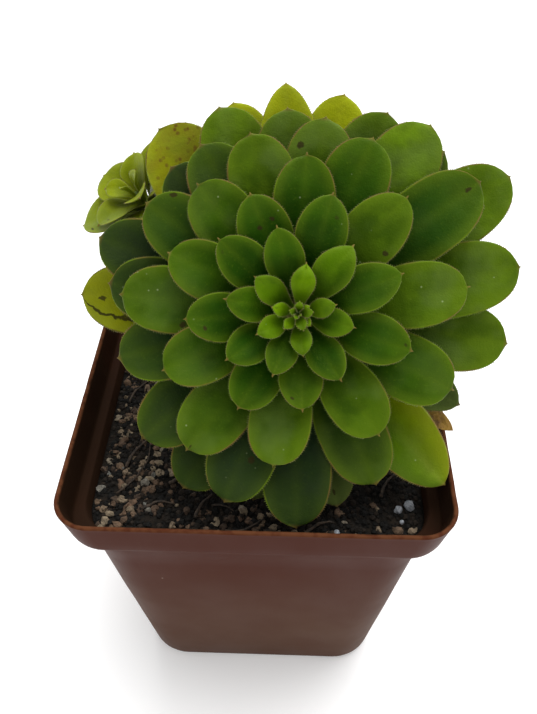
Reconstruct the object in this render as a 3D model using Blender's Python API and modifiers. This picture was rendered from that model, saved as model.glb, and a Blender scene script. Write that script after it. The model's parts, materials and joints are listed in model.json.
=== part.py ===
"""A rosette succulent in a square plastic nursery pot.

The origin is the middle of the pot's flat underside, +Z is up and -Y is the side that the rosette leans
towards. The pot is a thin-walled tapered square with a collar. Soil fills it to just under its ledge. A
bare stem stands in the soil and bends forward, and its leaves follow one spiral round it, the youngest at
the tip. A small offset rosette grows on a side stem behind the main one.
"""

import math
from collections import namedtuple

import bmesh
import bpy
from mathutils import Matrix, Vector

MM = 0.001
GAP = 0.3 * MM

# Square pot: half widths and corner radii from the base to the lip
POT_HEIGHT = 96.8 * MM
RIM_HALF = 50.0 * MM
RIM_CORNER = 9.6 * MM
COLLAR_HEIGHT = 11.5 * MM
COLLAR_FOOT_HALF = 48.8 * MM
COLLAR_FOOT_CORNER = 11.0 * MM
BODY_TOP_HALF = 46.1 * MM
BODY_TOP_CORNER = 12.7 * MM
BASE_HALF = 37.4 * MM
BASE_CORNER = 13.0 * MM
BASE_ROUND = 2.0 * MM
WALL = 1.2 * MM
DRAIN_RADIUS = 4.0 * MM
DRAIN_OFFSET = 19.0 * MM
CORNER_STEPS = 6

# Soil: its edge lies a little under the pot's ledge and it heaps up towards the stem
SOIL_EDGE = 82.5 * MM
SOIL_HEAP = 4.0 * MM
SOCKET_DEPTH = 8.0 * MM

# Main rosette: the tip of its stem, its lean towards -Y, and the spiral that its leaves follow, in mm
CROWN = Vector((9.4, -20.0, 140.5)) * MM
LEAN = math.radians(48.5)
FIRST_AZIMUTH = 268.0
TURN = -78.0
FIRST_LEAF = 3
LAST_HEART_LEAF = 18
LAST_GREEN_LEAF = 66
LOST_LEAVES = (27, 41, 45, 46, 50, 61, 64)
LONGEST_REACH = 62.0
REACH_AGE = 36.0
LONG_SIDE = 0.10
LONG_SIDE_AZIMUTH = math.radians(45)
TIP_RISE = 3.0
DROOP = 170.0
BROADEST = 21.0
THINNEST = 0.7
SEAT_DEPTH = 2.5
SEAT_STEP = 0.5
HEART_TIP_DEPTH = 1.5 * MM
ARCH = 0.8
CUP = 0.10
NECK = 0.28
WIDEST = 0.64
TIP_WIDTH = 0.10
EDGE_THICKNESS = 0.3

# Green leaves that stand away from the spiral: number, degrees round, millimetres further out and up
STRAYS = {
    5: (-9, 0, 0), 6: (8, 0, 0), 7: (0, 3, 0), 8: (10, -1, 0), 9: (-8, 0, 0), 11: (11, 0, 0), 12: (0, 4, 0),
    13: (13, -3, 0), 14: (-7, 0, 0), 15: (-8, 0, 0), 16: (5, 0, 0), 17: (0, 3, 0), 18: (0, -3, 0),
    19: (-12, -1, 0), 20: (-10, 1, 0), 21: (5, 1, 0), 22: (-9, 0, 0), 23: (0, -3, 0), 24: (-12, 0, 0),
    25: (-5, -1, 0), 26: (8, 3, 0), 28: (-5, -3, 0), 29: (-10, 1, 0), 31: (0, 2, 0), 32: (13, -1, 0),
    33: (-10, 1, 0), 34: (-7, 0, 0), 35: (10, 2, -0.2), 36: (-5, 0, 0), 38: (-9, 4, 0), 40: (9, 6, 0),
    42: (0, 3, 0), 43: (-9, 1, 0), 44: (7, -2, 0), 47: (-7, 2, 0), 48: (-3, -2, 0), 49: (10, 2, 0),
    51: (0, 5, 0), 53: (0, -4, 0), 54: (-3, 0, 0), 55: (-2, -3, 0.4), 56: (0, 3, 0), 57: (-10, -5, 0.6),
    58: (3, -4, 0), 59: (7, -4, -0.3), 60: (3, 4, 0.4), 62: (0, -2, 0), 63: (0, 2, 0), 65: (0, 3, 0),
}

# One broad leaf and the old leaves under the green ones: spiral number, azimuth, reach, height of the tip
# and breadth, in mm
ODD_LEAVES = {
    "broad_leaf": (64, 312, 56.7, -19.8, 19),
    "low_leaf_front": (72, 283, 50, -21.0, 15),
    "speckled_leaf": (71, 128, 58, -23, 22),
    "grey_leaf": (75, 332, 47.6, -24.5, 14),
    "low_leaf_left": (76, 258, 49, -22.5, 15),
    "low_leaf_right": (72, 49, 54, -21, 15),
    "yellow_leaf": (75, 176, 56, -26, 19),
    "pale_leaf_middle": (76, 94, 58, -24, 18),
    "dried_leaf": (80, 324.5, 51, -28, 7),
    "pale_leaf_right": (81, 79, 57, -27, 18),
    "pale_leaf_left": (85, 108, 57, -29, 17),
}

YOUNG_GREEN = (0.14, 0.26, 0.02)
OLD_GREEN = (0.04, 0.09, 0.02)

Axes = namedtuple("Axes", "tip side back up")
Blade = namedtuple("Blade", "axes azimuth seat_reach seat_height usual_reach reach height breadth thickness")


def leaning_axes(tip, side, up):
    """Axes of a rosette: up along its stem, side and back across it."""
    up = up.normalized()
    side = (side - up * side.dot(up)).normalized()
    return Axes(tip, side, up.cross(side), up)


MAIN = leaning_axes(CROWN, Vector((1, 0, 0)), Vector((0, -math.sin(LEAN), math.cos(LEAN))))
PUP = leaning_axes(Vector((-37.0, 33.0, 138.5)) * MM, Vector((0, 1, 0)), Vector((-0.52, -0.26, 0.81)))
PUP_LEAVES = range(2, 12)
PUP_TURN = 137.5
PUP_FIRST_AZIMUTH = 20.0
PUP_LONGEST_REACH = 23.5
PUP_HEART_DEPTH = 11.0 * MM

# Stems: each runs from its socket in the soil, over these bends, to its rosette's axis
STEM_SOCKET = Vector((7.0, 13.0)) * MM
STEM_RADIUS = 5.0 * MM
PUP_SOCKET = Vector((-11.0, 17.0)) * MM
PUP_STEM_RADIUS = 2.4 * MM


def finish(name, colour, roughness):
    """A plain material with one colour."""
    material = bpy.data.materials.new(name)
    material.use_nodes = True
    shader = material.node_tree.nodes["Principled BSDF"]
    shader.inputs["Base Color"].default_value = (*colour, 1.0)
    shader.inputs["Roughness"].default_value = roughness
    shader.inputs["Metallic"].default_value = 0.0
    return material


def mesh_object(name, bm, material, collection):
    mesh = bpy.data.meshes.new(name)
    bm.to_mesh(mesh)
    bm.free()
    piece = bpy.data.objects.new(name, mesh)
    piece.data.materials.append(material)
    collection.objects.link(piece)
    return piece


def rounded_square(half, corner, height):
    """Points of a square with rounded corners, anticlockwise, level with height."""
    points = []
    for quarter in range(4):
        start = quarter * math.pi / 2
        inset = half - corner
        centre = Vector((inset if quarter in (0, 3) else -inset, inset if quarter < 2 else -inset))
        for step in range(CORNER_STEPS + 1):
            angle = start + step / CORNER_STEPS * math.pi / 2
            points.append(
                Vector((centre.x + corner * math.cos(angle), centre.y + corner * math.sin(angle), height))
            )
    return points


def loft(rings):
    """A closed skin over level rings, each with its first and last ring filled."""
    bm = bmesh.new()
    rows = [[bm.verts.new(point) for point in ring] for ring in rings]
    for low, high in zip(rows, rows[1:]):
        for i in range(len(low)):
            j = (i + 1) % len(low)
            bm.faces.new((low[i], low[j], high[j], high[i]))
    bm.faces.new(list(reversed(rows[0])))
    bm.faces.new(rows[-1])
    return bm


def body_half(height):
    """Half width of the pot's tapered outside at a height."""
    return BASE_HALF + (BODY_TOP_HALF - BASE_HALF) * height / (POT_HEIGHT - COLLAR_HEIGHT)


def cylinder_cutter(name, centre, radius, low, high, cutters):
    bm = bmesh.new()
    bmesh.ops.create_cone(
        bm, cap_ends=True, segments=16, radius1=radius, radius2=radius, depth=high - low
    )
    bmesh.ops.translate(bm, verts=bm.verts, vec=Vector((centre.x, centre.y, (low + high) / 2)))
    cutter = mesh_object(name, bm, finish(name, (0.5, 0.5, 0.5), 0.5), cutters)
    cutter.hide_render = True
    cutter.display_type = "WIRE"
    return cutter


def cut(piece, cutter):
    boolean = piece.modifiers.new("cut " + cutter.name, "BOOLEAN")
    boolean.object = cutter
    boolean.operation = "DIFFERENCE"
    boolean.solver = "EXACT"


def make_pot(collection, cutters):
    """Thin tapered wall, a ledge, and the collar that stands out above it, in one moulding."""
    ledge = POT_HEIGHT - COLLAR_HEIGHT
    round_over = 0.5 * MM
    rings = [
        rounded_square(BASE_HALF - BASE_ROUND, BASE_CORNER - BASE_ROUND, 0.0),
        rounded_square(BASE_HALF - 0.3 * BASE_ROUND, BASE_CORNER, 0.3 * BASE_ROUND),
        rounded_square(body_half(BASE_ROUND), BASE_CORNER, BASE_ROUND),
        rounded_square(BODY_TOP_HALF, BODY_TOP_CORNER, ledge),
        rounded_square(COLLAR_FOOT_HALF - round_over, COLLAR_FOOT_CORNER, ledge),
        rounded_square(COLLAR_FOOT_HALF, COLLAR_FOOT_CORNER, ledge + round_over),
        rounded_square(RIM_HALF, RIM_CORNER, POT_HEIGHT - round_over),
        rounded_square(RIM_HALF - round_over, RIM_CORNER, POT_HEIGHT),
        rounded_square(RIM_HALF - WALL, RIM_CORNER - WALL, POT_HEIGHT),
        rounded_square(COLLAR_FOOT_HALF - WALL, COLLAR_FOOT_CORNER - WALL, ledge + WALL),
        rounded_square(BODY_TOP_HALF - WALL, BODY_TOP_CORNER - WALL, ledge + WALL),
        rounded_square(BASE_HALF - WALL, BASE_CORNER - WALL, WALL),
    ]
    pot = mesh_object("pot", loft(rings), finish("pot plastic", (0.10, 0.04, 0.025), 0.4), collection)
    for sign_x in (-1, 1):
        for sign_y in (-1, 1):
            centre = Vector((sign_x, sign_y)) * DRAIN_OFFSET
            name = f"drain_cutter_{'left' if sign_x < 0 else 'right'}_{'front' if sign_y < 0 else 'back'}"
            cut(pot, cylinder_cutter(name, centre, DRAIN_RADIUS, -WALL, 3 * WALL, cutters))
    return pot


def make_soil(collection, cutters):
    """Potting mix that fills the pot, heaped a little in the middle, with a socket round each stem."""
    rings = [rounded_square(BASE_HALF - WALL - GAP, BASE_CORNER - WALL, WALL + GAP)]
    edge_half = body_half(SOIL_EDGE) - WALL - GAP
    rings.append(rounded_square(edge_half, BODY_TOP_CORNER - WALL, SOIL_EDGE))
    for share in (0.85, 0.6, 0.3, 0.1):
        height = SOIL_EDGE + SOIL_HEAP * (1 - share * share)
        rings.append(rounded_square(share * edge_half, share * (BODY_TOP_CORNER - WALL), height))
    soil = mesh_object("soil", loft(rings), finish("potting mix", (0.02, 0.015, 0.01), 0.95), collection)
    top = SOIL_EDGE + SOIL_HEAP
    low = SOIL_EDGE - SOCKET_DEPTH
    for name, socket, radius in (
        ("stem_socket_cutter", STEM_SOCKET, STEM_RADIUS),
        ("offset_stem_socket_cutter", PUP_SOCKET, PUP_STEM_RADIUS),
    ):
        cut(soil, cylinder_cutter(name, socket, radius + 2 * GAP, low - GAP, top + GAP, cutters))
    return soil


def stem_radius(depth):
    """Radius of the main stem at a depth under its tip: it thickens as it ages."""
    return 0.2 * MM + (STEM_RADIUS - 0.6 * MM) * (1 - math.exp(-depth / (13 * MM)))


def place(axes, reach, azimuth, height):
    """A point in a rosette's own cylinder of reach, azimuth and height along the stem."""
    return (
        axes.tip
        + axes.side * (reach * math.cos(azimuth))
        + axes.back * (reach * math.sin(azimuth))
        + axes.up * height
    )


def pup_stem_radius(depth):
    """Radius of the offset's stem at a depth under its tip."""
    return 0.4 * MM + (PUP_STEM_RADIUS - 0.4 * MM) * min(1.0, depth / PUP_HEART_DEPTH)


def make_stem(name, socket, radius, axes, depths, radius_at, material, collection):
    """A tube that rises from its socket and bends over onto its rosette's axis."""
    deepest, shallowest = depths
    foot = Vector((socket.x, socket.y, SOIL_EDGE - SOCKET_DEPTH))
    shoulder = place(axes, 0.0, 0.0, -deepest)
    lift = Vector((0, 0, (shoulder.z - SOIL_EDGE) * 0.45))
    bends = [(foot, radius), (foot + Vector((0, 0, SOCKET_DEPTH + 3 * MM)), radius)]
    low = bends[-1][0]
    for step in range(1, 7):
        t = step / 6
        middle = 3 * t * (1 - t) ** 2 * (low + lift) + 3 * t * t * (1 - t) * (shoulder - axes.up * 6 * MM)
        point = (1 - t) ** 3 * low + middle + t**3 * shoulder
        bends.append((point, radius + (radius_at(deepest) - radius) * t))
    for step in range(1, 9):
        depth = deepest + (shallowest - deepest) * step / 8
        bends.append((place(axes, 0.0, 0.0, -depth), radius_at(depth)))
    curve = bpy.data.curves.new(name, "CURVE")
    curve.dimensions = "3D"
    curve.bevel_depth = radius
    curve.bevel_resolution = 2
    curve.use_fill_caps = True
    spline = curve.splines.new("POLY")
    spline.points.add(len(bends) - 1)
    for spot, (point, thickness) in zip(spline.points, bends):
        spot.co = (*point, 1.0)
        spot.radius = thickness / radius
    curve.materials.append(material)
    stem = bpy.data.objects.new(name, curve)
    collection.objects.link(stem)
    return stem


def seat(number):
    """Where a leaf of the main rosette leaves the stem: reach from the axis and height along it."""
    depth = (SEAT_DEPTH + SEAT_STEP * number) * MM
    reach = stem_radius(depth) + 0.7 * MM if number > LAST_HEART_LEAF else 0.6 * stem_radius(depth)
    return reach, -depth


def green_blade(number):
    """One leaf of the main spiral. Reach, breadth and thickness grow with its age."""
    turn, further, higher = STRAYS.get(number, (0, 0, 0))
    azimuth = math.radians(FIRST_AZIMUTH + TURN * number + turn)
    usual = LONGEST_REACH * (1 - math.exp(-((number / REACH_AGE) ** 1.25)))
    reach = usual * (1 + LONG_SIDE * math.cos(azimuth - LONG_SIDE_AZIMUTH)) + further
    height = TIP_RISE * math.exp(-usual / 6) - usual * usual / DROOP + higher
    breadth = BROADEST * (1 - math.exp(-reach / 28))
    thickness = THINNEST + 1.4 * (1 - math.exp(-reach / 18))
    sizes = (usual * MM, reach * MM, height * MM, breadth * MM, thickness * MM)
    return Blade(MAIN, azimuth, *seat(number), *sizes)


def odd_blade(number, azimuth, reach, height, breadth):
    """One leaf from the same spiral whose reach, height and breadth are its own."""
    sizes = (reach * MM, reach * MM, height * MM, breadth * MM, 0.12 * breadth * MM)
    return Blade(MAIN, math.radians(azimuth), *seat(number), *sizes)


def pup_blade(number):
    """One leaf of the small offset rosette."""
    azimuth = math.radians(PUP_FIRST_AZIMUTH + PUP_TURN * number)
    reach = PUP_LONGEST_REACH * (1 - math.exp(-((number / 7) ** 1.2)))
    depth = 1.5 + 0.8 * number
    height = 4 - reach * reach / 70
    sizes = (reach * MM, reach * MM, height * MM, (0.72 * reach + 0.6) * MM, (THINNEST + 0.05 * reach) * MM)
    return Blade(PUP, azimuth, 0.6 * pup_stem_radius(depth * MM), -depth * MM, *sizes)


def outline(along):
    """Half width of a leaf as a share of its greatest: a narrow neck, then a blunt pointed end."""
    if along < WIDEST:
        t = along / WIDEST
        return NECK + (1 - NECK) * t * t * (3 - 2 * t)
    t = (along - WIDEST) / (1 - WIDEST)
    return max(TIP_WIDTH, (1 - t * t) ** 0.55)


def blade_point(blade, along, across):
    """A point on the middle surface of a leaf, along from 0 to 1 and across from -1 to 1.

    A leaf lies on a surface turned round the stem, arched from its seat to the height of its tip. A leaf
    that reaches further than is usual for its age follows the same arch on down.
    """
    reach = blade.seat_reach + (blade.reach - blade.seat_reach) * along
    half = blade.breadth / 2 * outline(along)
    out = (reach - blade.seat_reach) / (blade.usual_reach - blade.seat_reach)
    rise = out + ARCH * out * (1 - out)
    height = blade.seat_height + (blade.height - blade.seat_height) * rise + CUP * half * across * across
    return place(blade.axes, reach, blade.azimuth + across * half / reach, height)


def make_leaf(name, blade, rows, columns, material, collection):
    """A leaf: a flat grid bent onto its middle surface, then thickened to both sides."""
    bm = bmesh.new()
    plumpness = bm.verts.layers.deform.verify()
    grid = bmesh.ops.create_grid(bm, x_segments=columns, y_segments=rows, size=0.5)
    for vert in grid["verts"]:
        across, along = 2 * vert.co.x, 1 - (0.5 - vert.co.y) ** 1.5
        vert.co = blade_point(blade, along, across)
        vert[plumpness][0] = (1 - (1 - EDGE_THICKNESS) * across * across) * (1 - 0.5 * along**4)
    leaf = mesh_object(name, bm, material, collection)
    leaf.vertex_groups.new(name="plump")
    solid = leaf.modifiers.new("flesh", "SOLIDIFY")
    solid.thickness = blade.thickness
    solid.offset = 0.0
    solid.vertex_group = "plump"
    leaf.data.shade_smooth()
    return leaf


def make_heart(name, axes, deepest, radius_at, blades, material, collection, cutters):
    """The growing end of a stem with the small leaves that are still one with it."""
    bm = bmesh.new()
    depths = [HEART_TIP_DEPTH + (deepest - HEART_TIP_DEPTH) * i / 5 for i in range(6)]
    profile = [Vector((0, 0, -depths[0]))]
    profile += [Vector((radius_at(depth), 0, -depth)) for depth in depths]
    profile.append(Vector((0, 0, -deepest)))
    spots = [bm.verts.new(point) for point in profile]
    for high, low in zip(spots, spots[1:]):
        bm.edges.new((high, low))
    heart = mesh_object(name, bm, material, collection)
    turn = Matrix((axes.side, axes.back, axes.up)).transposed()
    heart.matrix_world = Matrix.Translation(axes.tip) @ turn.to_4x4()
    screw = heart.modifiers.new("turned", "SCREW")
    screw.steps = screw.render_steps = 10
    screw.use_merge_vertices = True
    screw.merge_threshold = 0.01 * MM
    for i, blade in enumerate(blades):
        leaf = make_leaf(f"{name}_leaf_{i:02d}", blade, 5, 2, material, cutters)
        leaf.hide_render = True
        leaf.display_type = "WIRE"
        union = heart.modifiers.new("join " + leaf.name, "BOOLEAN")
        union.object = leaf
        union.operation = "UNION"
        union.solver = "EXACT"
    return heart


def mix(young, old, share):
    return tuple(a + (b - a) * share for a, b in zip(young, old))


def main():
    for thing in list(bpy.data.objects):
        bpy.data.objects.remove(thing, do_unlink=True)
    plant = bpy.data.collections.new("potted_succulent")
    cutters = bpy.data.collections.new("cutters")
    bpy.context.scene.collection.children.link(plant)
    bpy.context.scene.collection.children.link(cutters)

    make_pot(plant, cutters)
    make_soil(plant, cutters)

    bark = finish("stem bark", (0.16, 0.11, 0.06), 0.8)
    young = finish("young leaf", YOUNG_GREEN, 0.45)
    heart_depth = -seat(LAST_HEART_LEAF)[1]
    stem_depths = (46 * MM, heart_depth + 4 * GAP)
    make_stem("stem", STEM_SOCKET, STEM_RADIUS, MAIN, stem_depths, stem_radius, bark, plant)
    numbers = [n for n in range(FIRST_LEAF, LAST_GREEN_LEAF + 1) if n not in LOST_LEAVES]
    blades = [green_blade(n) for n in numbers if n <= LAST_HEART_LEAF]
    make_heart("heart", MAIN, heart_depth, stem_radius, blades, young, plant, cutters)
    for number in numbers:
        if number > LAST_HEART_LEAF:
            green = finish(f"green {number}", mix(YOUNG_GREEN, OLD_GREEN, number / LAST_GREEN_LEAF), 0.5)
            make_leaf(f"leaf_{number:02d}", green_blade(number), 7, 4, green, plant)
    for name, sizes in ODD_LEAVES.items():
        make_leaf(name, odd_blade(*sizes), 7, 4, finish(name, (0.25, 0.25, 0.02), 0.5), plant)

    pup_depths = (PUP_HEART_DEPTH + 5 * MM, PUP_HEART_DEPTH + 3 * GAP)
    make_stem("offset_stem", PUP_SOCKET, PUP_STEM_RADIUS, PUP, pup_depths, pup_stem_radius, bark, plant)
    blades = [pup_blade(n) for n in PUP_LEAVES]
    make_heart("offset_rosette", PUP, PUP_HEART_DEPTH, pup_stem_radius, blades, young, plant, cutters)


main()
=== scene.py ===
"""Looks of a rosette succulent in a square nursery pot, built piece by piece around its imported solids."""

import json
import math

import bmesh
import bpy
import numpy as np
from mathutils import Euler, Matrix, Vector, noise

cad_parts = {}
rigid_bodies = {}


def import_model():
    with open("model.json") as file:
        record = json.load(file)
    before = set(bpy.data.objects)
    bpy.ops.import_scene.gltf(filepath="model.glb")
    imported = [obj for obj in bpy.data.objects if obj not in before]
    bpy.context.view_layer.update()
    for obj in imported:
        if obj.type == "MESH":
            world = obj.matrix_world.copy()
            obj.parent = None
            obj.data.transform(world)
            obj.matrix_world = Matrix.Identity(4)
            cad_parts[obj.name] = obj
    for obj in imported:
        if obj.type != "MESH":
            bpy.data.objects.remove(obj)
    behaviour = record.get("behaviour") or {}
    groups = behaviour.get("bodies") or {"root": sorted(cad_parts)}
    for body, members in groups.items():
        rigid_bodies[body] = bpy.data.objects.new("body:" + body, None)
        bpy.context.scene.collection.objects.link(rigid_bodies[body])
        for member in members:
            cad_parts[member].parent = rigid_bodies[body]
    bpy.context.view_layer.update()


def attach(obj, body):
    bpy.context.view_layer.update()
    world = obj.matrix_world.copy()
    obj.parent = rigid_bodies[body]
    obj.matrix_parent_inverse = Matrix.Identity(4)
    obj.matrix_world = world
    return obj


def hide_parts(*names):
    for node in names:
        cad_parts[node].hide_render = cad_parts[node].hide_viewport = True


for thing in list(bpy.data.objects):
    bpy.data.objects.remove(thing, do_unlink=True)
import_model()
MM = 0.001

# ----------------------------------------------------------------------------
# Pot. A thin-walled square nursery pot, moulded in one piece of reddish brown plastic with a soft sheen.
# Its tapered body widens at a ledge into a collar. The lip is scuffed pale and a little chipped, and a
# faint mould line runs round under the collar. Four drain holes go through the floor.
POT_HEIGHT, COLLAR_HEIGHT, WALL = 96.8, 11.5, 1.2
LEDGE = POT_HEIGHT - COLLAR_HEIGHT
BASE_HALF, BODY_TOP_HALF, COLLAR_FOOT_HALF, RIM_HALF = 37.4, 46.1, 48.8, 50.0
BASE_CORNER, BODY_TOP_CORNER, COLLAR_FOOT_CORNER, RIM_CORNER = 13.0, 12.7, 11.0, 9.6
POT_BROWN, POT_PALE_BELOW, LIP_SCUFF = (0.048, 0.011, 0.005), (0.082, 0.043, 0.028), (0.09, 0.033, 0.014)


def add(tree, kind, sockets=None, **settings):
    """A node in a tree: settings are its properties, and sockets gives inputs a value or a link."""
    made = tree.nodes.new(kind)
    for key, value in settings.items():
        setattr(made, key, value)
    for key, value in (sockets or {}).items():
        if isinstance(value, bpy.types.NodeSocket):
            tree.links.new(value, made.inputs[key])
        else:
            made.inputs[key].default_value = value
    return made


def colour(value):
    return value if isinstance(value, bpy.types.NodeSocket) else (*value, 1.0)


def tint(share, low, high):
    """Goes from one colour to another as share goes from 0 to 1."""
    sockets = {0: share, 6: colour(low), 7: colour(high)}
    return add(share.id_data, "ShaderNodeMix", sockets, data_type="RGBA").outputs[2]


def step(value, start, end, low=0.0, high=1.0):
    """A soft step from low to high as value goes from start to end."""
    sockets = {0: value, 1: start, 2: end, 3: low, 4: high}
    return add(value.id_data, "ShaderNodeMapRange", sockets, interpolation_type="SMOOTHSTEP").outputs[0]


def maths(operation, *values):
    sockets = dict(enumerate(values))
    return add(values[0].id_data, "ShaderNodeMath", sockets, operation=operation).outputs[0]


def times(first, second):
    return maths("MULTIPLY", first, second)


def split(value, kind="XYZ"):
    """The three parts of a place or of a colour."""
    return add(value.id_data, "ShaderNodeSeparate" + kind, {0: value}).outputs


def vectors(operation, *values):
    sockets = dict(enumerate(values))
    return add(values[0].id_data, "ShaderNodeVectorMath", sockets, operation=operation).outputs


def stretched(place, height):
    """A place whose patterns are drawn out along Z."""
    sockets = {"Vector": place, "Scale": (1.0, 1.0, height)}
    return add(place.id_data, "ShaderNodeMapping", sockets).outputs[0]


def clouds(place, per_mm, detail=3.0):
    """Soft noise with features of about one over per_mm millimetres."""
    sockets = {"Vector": place, "Scale": per_mm / MM, "Detail": detail}
    return add(place.id_data, "ShaderNodeTexNoise", sockets).outputs[0]


def stored(shader, label):
    """A value kept on the mesh."""
    return add(shader.id_data, "ShaderNodeAttribute", attribute_name=label).outputs["Fac"]


def paint(shader, value, into="Base Color"):
    shader.id_data.links.new(value, shader.inputs[into])


def flecks(place, scale, size, chosen, channel=0, ragged=0.0, **settings):
    """1 inside small round marks in a few cells of a pattern, and 0 outside them."""
    cells = add(place.id_data, "ShaderNodeTexVoronoi", {"Vector": place, "Scale": scale}, **settings)
    picked = split(cells.outputs["Color"], "Color")[channel]
    away = maths("ADD", cells.outputs["Distance"], ragged)
    return times(step(away, *size), step(picked, *chosen))


def bumped(shader, height, depth_mm, strength=1.0):
    sockets = {"Strength": strength, "Distance": depth_mm * MM, "Height": height}
    paint(shader, add(shader.id_data, "ShaderNodeBump", sockets).outputs[0], "Normal")


def new_material(name, roughness, **sockets):
    """A material, its shader and its object coordinates."""
    made = bpy.data.materials.new(name)
    made.use_nodes = True
    shader = made.node_tree.nodes["Principled BSDF"]
    shader.inputs["Roughness"].default_value = roughness
    for key, value in sockets.items():
        shader.inputs[key.replace("_", " ")].default_value = value
    return made, shader, add(made.node_tree, "ShaderNodeTexCoord").outputs["Object"]


def mottled(name, roughness, noises, low, high, bump=None, **sockets):
    """A plain material that wanders between two colours. Noises is features per mm and detail, and perhaps
    the ends of a step; bump is features per mm, detail and depth in millimetres."""
    made, shader, place = new_material(name, roughness, **sockets)
    share = clouds(place, *noises[:2])
    if noises[2:]:
        share = step(share, *noises[2:])
    paint(shader, tint(share, low, high))
    if bump:
        bumped(shader, clouds(place, *bump[:2]), bump[2])
    return made


def put_in(name, data):
    """An object in the scene, at the origin."""
    made = bpy.data.objects.new(name, data)
    bpy.context.scene.collection.objects.link(made)
    return made


def rounded_square(half, corner, height, corner_steps=12, side_steps=22):
    """Points round a level square with rounded corners, in millimetres."""
    points = []
    inset = half - corner
    for quarter in range(4):
        turn = quarter * math.pi / 2
        centre = Vector((inset if quarter in (0, 3) else -inset, inset if quarter < 2 else -inset))
        for i in range(corner_steps + 1):
            angle = turn + i / corner_steps * math.pi / 2
            points.append((centre.x + corner * math.cos(angle), centre.y + corner * math.sin(angle), height))
        along = Vector((-math.sin(turn + math.pi / 2), math.cos(turn + math.pi / 2))) * 2 * inset
        start = Vector(points[-1][:2])
        for i in range(1, side_steps):
            spot = start + along * i / side_steps
            points.append((spot.x, spot.y, height))
    return points


def loft(rings):
    """Points and faces of a closed skin over level rings, with a fan over the first and last."""
    count = len(rings[0])
    points = [point for ring in rings for point in ring]
    faces = []
    for row in range(len(rings) - 1):
        for i in range(count):
            j = (i + 1) % count
            faces.append((row * count + i, row * count + j, (row + 1) * count + j, (row + 1) * count + i))
    for row, flip in ((0, True), (len(rings) - 1, False)):
        middle = np.mean(rings[row], axis=0)
        points.append(tuple(middle))
        for i in range(count):
            a, b = row * count + i, row * count + (i + 1) % count
            faces.append((b, a, len(points) - 1) if flip else (a, b, len(points) - 1))
    return points, faces


def new_piece(name, points_mm, faces, *materials):
    mesh = bpy.data.meshes.new(name)
    mesh.from_pydata([Vector(point) * MM for point in points_mm], [], faces)
    mesh.shade_smooth()
    for material in materials:
        mesh.materials.append(material)
    return put_in(name, mesh)


def bake(piece):
    """Turns a piece and its modifiers into a plain mesh."""
    graph = bpy.context.evaluated_depsgraph_get()
    mesh = bpy.data.meshes.new_from_object(
        piece.evaluated_get(graph), preserve_all_data_layers=True, depsgraph=graph
    )
    piece.modifiers.clear()
    piece.data = mesh
    return piece


def hand_in(piece, slot, *nodes):
    """Puts a finished piece on the plant's one body, in place of its solids."""
    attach(piece, "root")
    if nodes:
        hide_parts(*nodes)


def body_half(height):
    return BASE_HALF + (BODY_TOP_HALF - BASE_HALF) * height / LEDGE


def pot_rings():
    """Rings up the outside, over the lip, and down the inside to the floor."""
    rings = [(BASE_HALF - 2.0, BASE_CORNER - 2.0, 0.0)]
    for angle in (20, 40, 60, 80):
        across, rise = 2 * math.sin(math.radians(angle)), 2 - 2 * math.cos(math.radians(angle))
        rings.append((BASE_HALF - 2.0 + across, BASE_CORNER - 2.0 + across, rise))
    for height in (2.6, 12, 24, 36, 48, 60, 72, LEDGE - 3.2):
        rings.append((body_half(height), BASE_CORNER - 0.3 * height / LEDGE, height))
    for drop, proud in ((2.9, 0.16), (2.5, 0.20), (2.1, 0.16), (1.8, 0.0)):
        rings.append((body_half(LEDGE - drop) + proud, BODY_TOP_CORNER, LEDGE - drop))
    rings.append((BODY_TOP_HALF - 0.1, BODY_TOP_CORNER, LEDGE - 0.5))
    rings.append((BODY_TOP_HALF + 0.2, BODY_TOP_CORNER, LEDGE))
    for inset, rise in ((0.6, 0.0), (0.25, 0.1), (0.05, 0.35)):
        rings.append((COLLAR_FOOT_HALF - inset, COLLAR_FOOT_CORNER, LEDGE + rise))
    for share in (0.1, 0.35, 0.6, 0.85, 0.93):
        half = COLLAR_FOOT_HALF + (RIM_HALF - COLLAR_FOOT_HALF) * share
        corner = COLLAR_FOOT_CORNER + (RIM_CORNER - COLLAR_FOOT_CORNER) * share
        rings.append((half, corner, LEDGE + COLLAR_HEIGHT * share))
    for inset, drop in ((0.0, 0.45), (0.12, 0.15), (0.35, 0.0), (0.8, 0.0), (1.05, 0.15), (1.2, 0.45)):
        rings.append((RIM_HALF - inset, RIM_CORNER - inset, POT_HEIGHT - drop))
    for share in (0.8, 0.5, 0.25, 0.08):
        half = COLLAR_FOOT_HALF - WALL + (RIM_HALF - COLLAR_FOOT_HALF) * share
        rings.append((half, COLLAR_FOOT_CORNER - WALL, LEDGE + WALL + 10 * share))
    rings.append((COLLAR_FOOT_HALF - WALL - 0.3, COLLAR_FOOT_CORNER - WALL, LEDGE + WALL))
    rings.append((BODY_TOP_HALF - WALL + 0.5, BODY_TOP_CORNER - WALL, LEDGE + WALL))
    rings.append((BODY_TOP_HALF - WALL, BODY_TOP_CORNER - WALL, LEDGE + WALL - 0.4))
    for height in (60, 30, WALL + 1):
        rings.append((body_half(height) - WALL, BASE_CORNER - WALL, height))
    rings.append((BASE_HALF - WALL - 1.0, BASE_CORNER - WALL, WALL))
    return [rounded_square(*ring) for ring in rings]


points, faces = loft(pot_rings())
worn = []
for x, y, z in points:
    spot = Vector((x, y, z))
    sway = 0.12 * noise.noise(spot * 0.05) * min(1.0, z / 20)
    out = Vector((x, y, 0)).normalized()
    spot += out * sway
    if z > POT_HEIGHT - 0.6:
        chip = max(0.0, noise.noise(Vector((x, y, 7)) * 0.45) - 0.28)
        spot -= Vector((0, 0, 1.0)) * chip + out * 0.3 * chip
    worn.append(spot)

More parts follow.
